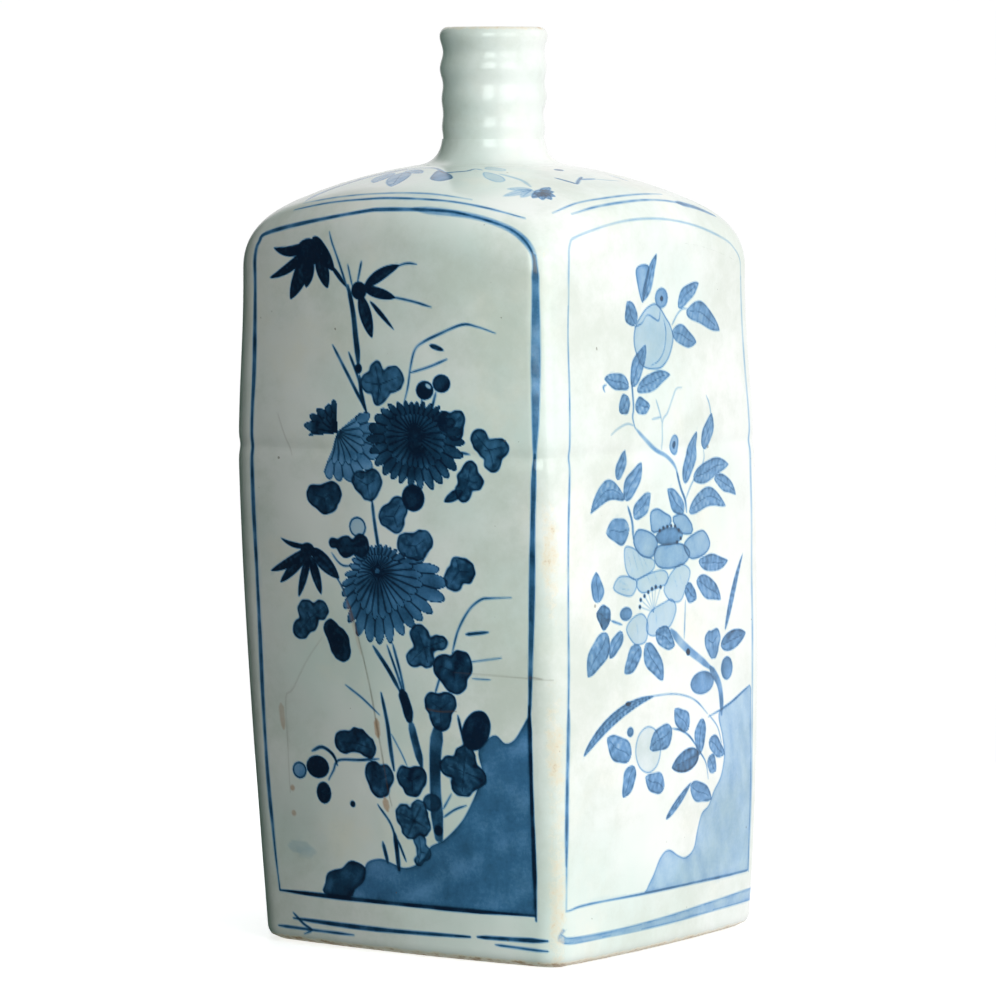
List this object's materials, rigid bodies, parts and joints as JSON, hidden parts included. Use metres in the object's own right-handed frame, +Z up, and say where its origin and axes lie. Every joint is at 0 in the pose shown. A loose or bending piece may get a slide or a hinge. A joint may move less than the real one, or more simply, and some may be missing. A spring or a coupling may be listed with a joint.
{
  "type": "square sake bottle",
  "caption": "Tall square porcelain bottle with bulging slab walls, a low domed shoulder and a short ringed neck, painted in blue under the glaze.",
  "frame": {"origin": "on the surface the bottle stands on, under the middle of the body", "axes": "+Z up, -Y out of the front side (chrysanthemums), +X out of the right side (camellias)"},
  "size_m": [0.1209, 0.1204, 0.27],
  "materials": {
    "painted_glaze": "white porcelain under a clear, slightly greenish gloss glaze, painted in cobalt blue",
    "plain_glaze": "white porcelain under a clear gloss glaze, worn beige at the lip",
    "bare_clay": "unglazed fired clay, burnt orange-brown"
  },
  "bodies": {
    "root": {"front_lower_wall": "painted_glaze", "right_lower_wall": "painted_glaze", "back_lower_wall": "painted_glaze", "left_lower_wall": "painted_glaze", "front_upper_wall": "painted_glaze", "right_upper_wall": "painted_glaze", "back_upper_wall": "painted_glaze", "left_upper_wall": "painted_glaze", "base_slab": "bare_clay", "shoulder_slab": "painted_glaze", "neck": "plain_glaze", "neck_collar": "plain_glaze", "front_right_lower_coil": "bare_clay", "back_right_lower_coil": "bare_clay", "back_left_lower_coil": "bare_clay", "front_left_lower_coil": "bare_clay", "front_right_upper_coil": "bare_clay", "back_right_upper_coil": "bare_clay", "back_left_upper_coil": "bare_clay", "front_left_upper_coil": "bare_clay", "belly_seam_coil": "bare_clay", "base_seam_coil": "bare_clay"}
  },
  "joints": []
}
